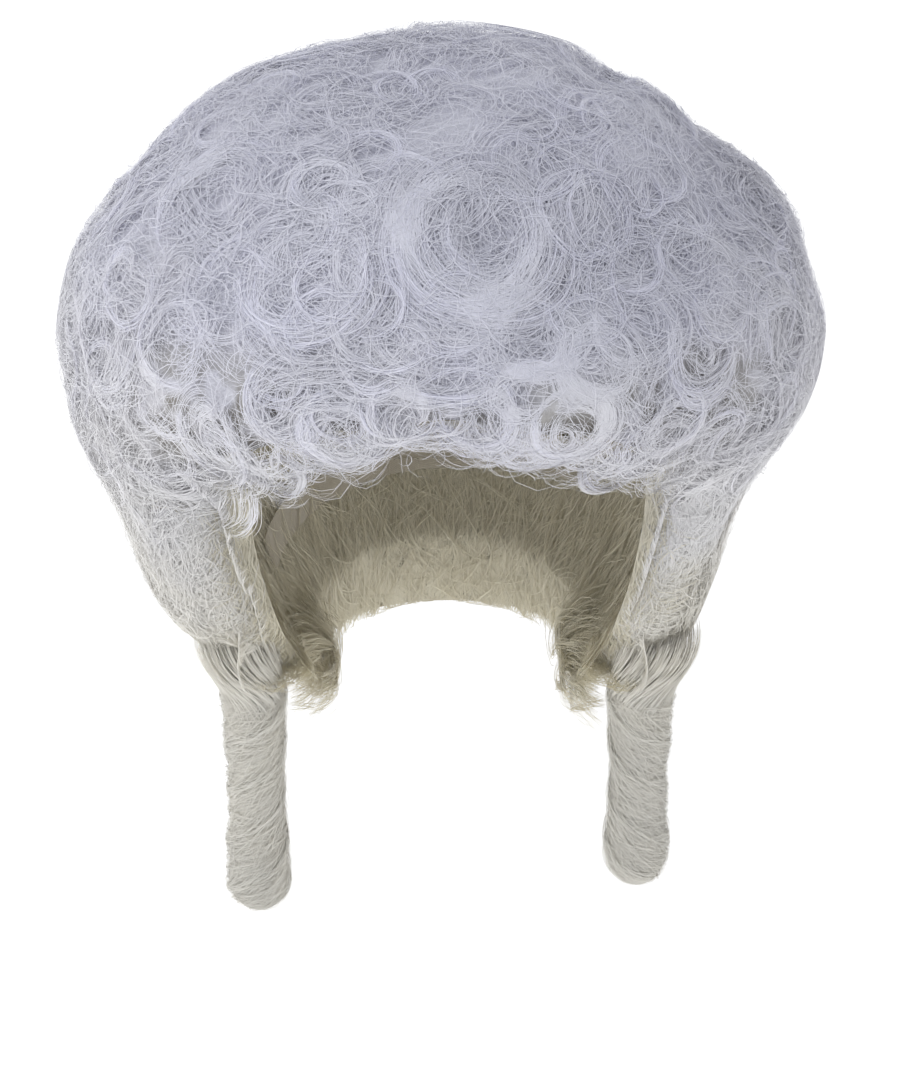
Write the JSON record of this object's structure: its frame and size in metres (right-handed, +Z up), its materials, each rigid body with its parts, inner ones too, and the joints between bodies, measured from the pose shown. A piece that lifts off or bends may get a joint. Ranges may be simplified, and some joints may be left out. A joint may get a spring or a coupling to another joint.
{
  "type": "costume wig",
  "caption": "Bouffant costume wig of loose white curls on a sewn net cap, with a long hanging ringlet at each temple.",
  "frame": {"origin": "centre of the head cavity, level with the brow, where the wearer's head holds the wig", "axes": "+Z up to the crown, the face opening looks along -Y, +X to the wearer's left"},
  "size_m": [0.2738, 0.2447, 0.34],
  "materials": {
    "hair": "soft synthetic fibre",
    "cap_net": "open mesh",
    "cap_band": "woven",
    "elastic": "woven elastic",
    "weft": "stitched",
    "stay": "smooth",
    "hook": "bright"
  },
  "bodies": {
    "wig": {"crown_hair": "hair", "front_center_hair": "hair", "upper_back_hair": "hair", "nape_hair": "hair", "front_hair_left": "hair", "front_hair_right": "hair", "upper_side_hair_left": "hair", "upper_side_hair_right": "hair", "upper_back_side_hair_left": "hair", "upper_back_side_hair_right": "hair", "temple_lock_left": "hair", "temple_lock_right": "hair", "lower_side_hair_left": "hair", "lower_side_hair_right": "hair", "lower_back_side_hair_left": "hair", "lower_back_side_hair_right": "hair", "crown_curl_large": "hair", "crown_curl_left": "hair", "crown_curl_right": "hair", "fringe_curl_center": "hair", "fringe_curl_left": "hair", "fringe_curl_right": "hair", "temple_curl_left": "hair", "temple_curl_right": "hair", "side_curl_left": "hair", "side_curl_right": "hair", "crown_net": "cap_net", "front_band": "cap_band", "nape_band": "cap_band", "center_back_ribbon": "elastic", "left_side_ribbon": "elastic", "left_back_ribbon": "elastic", "right_side_ribbon": "elastic", "right_back_ribbon": "elastic", "weft_track_1": "weft", "weft_track_2": "weft", "weft_track_3": "weft", "weft_track_4": "weft", "weft_track_5": "weft", "weft_track_6": "weft", "weft_track_7": "weft", "left_loop_tape": "elastic", "left_strap_sleeve": "elastic", "right_loop_tape": "elastic", "right_strap_sleeve": "elastic"},
    "left_ear_flap": {"left_ear_tab": "cap_band", "left_tab_stay": "stay"},
    "left_adjuster": {"left_adjuster_strap": "elastic", "left_adjuster_hook": "hook"},
    "left_knot": {"left_ringlet_knot": "weft"},
    "left_upper_ringlet": {"left_ringlet_upper": "hair"},
    "left_lower_ringlet": {"left_ringlet_lower": "hair"},
    "right_ear_flap": {"right_ear_tab": "cap_band", "right_tab_stay": "stay"},
    "right_adjuster": {"right_adjuster_strap": "elastic", "right_adjuster_hook": "hook"},
    "right_knot": {"right_ringlet_knot": "weft"},
    "right_upper_ringlet": {"right_ringlet_upper": "hair"},
    "right_lower_ringlet": {"right_ringlet_lower": "hair"}
  },
  "joints": [
    {"name": "left_ear_flap_fold", "type": "hinge", "parent": "wig", "child": "left_ear_flap", "pos_m": [0.07803, -0.01236, 0.00415], "axis": [0.098, 0.9952, 0], "range_deg": [0, 25]},
    {"name": "left_nape_adjust", "type": "hinge", "parent": "wig", "child": "left_adjuster", "pos_m": [0, 0.028, -0.066], "axis": [0, 0, 1], "range_deg": [-5, 9]},
    {"name": "left_ringlet_swing_forward", "type": "hinge", "parent": "wig", "child": "left_knot", "pos_m": [0.071, -0.027, -0.114], "axis": [-1, 0, 0], "range_deg": [-45, 60]},
    {"name": "left_ringlet_swing_out", "type": "hinge", "parent": "left_knot", "child": "left_upper_ringlet", "pos_m": [0.071, -0.027, -0.114], "axis": [0, -1, 0], "range_deg": [-15, 45]},
    {"name": "left_ringlet_bend", "type": "hinge", "parent": "left_upper_ringlet", "child": "left_lower_ringlet", "pos_m": [0.071, -0.027, -0.1601], "axis": [-1, 0, 0], "range_deg": [-25, 30]},
    {"name": "right_ear_flap_fold", "type": "hinge", "parent": "wig", "child": "right_ear_flap", "pos_m": [-0.07803, -0.01236, 0.00415], "axis": [0.098, -0.9952, 0], "range_deg": [0, 25]},
    {"name": "right_nape_adjust", "type": "hinge", "parent": "wig", "child": "right_adjuster", "pos_m": [0, 0.028, -0.066], "axis": [0, 0, -1], "range_deg": [-5, 9]},
    {"name": "right_ringlet_swing_forward", "type": "hinge", "parent": "wig", "child": "right_knot", "pos_m": [-0.071, -0.027, -0.114], "axis": [-1, 0, 0], "range_deg": [-45, 60]},
    {"name": "right_ringlet_swing_out", "type": "hinge", "parent": "right_knot", "child": "right_upper_ringlet", "pos_m": [-0.071, -0.027, -0.114], "axis": [0, 1, 0], "range_deg": [-15, 45]},
    {"name": "right_ringlet_bend", "type": "hinge", "parent": "right_upper_ringlet", "child": "right_lower_ringlet", "pos_m": [-0.071, -0.027, -0.1661], "axis": [-1, 0, 0], "range_deg": [-25, 30]}
  ]
}
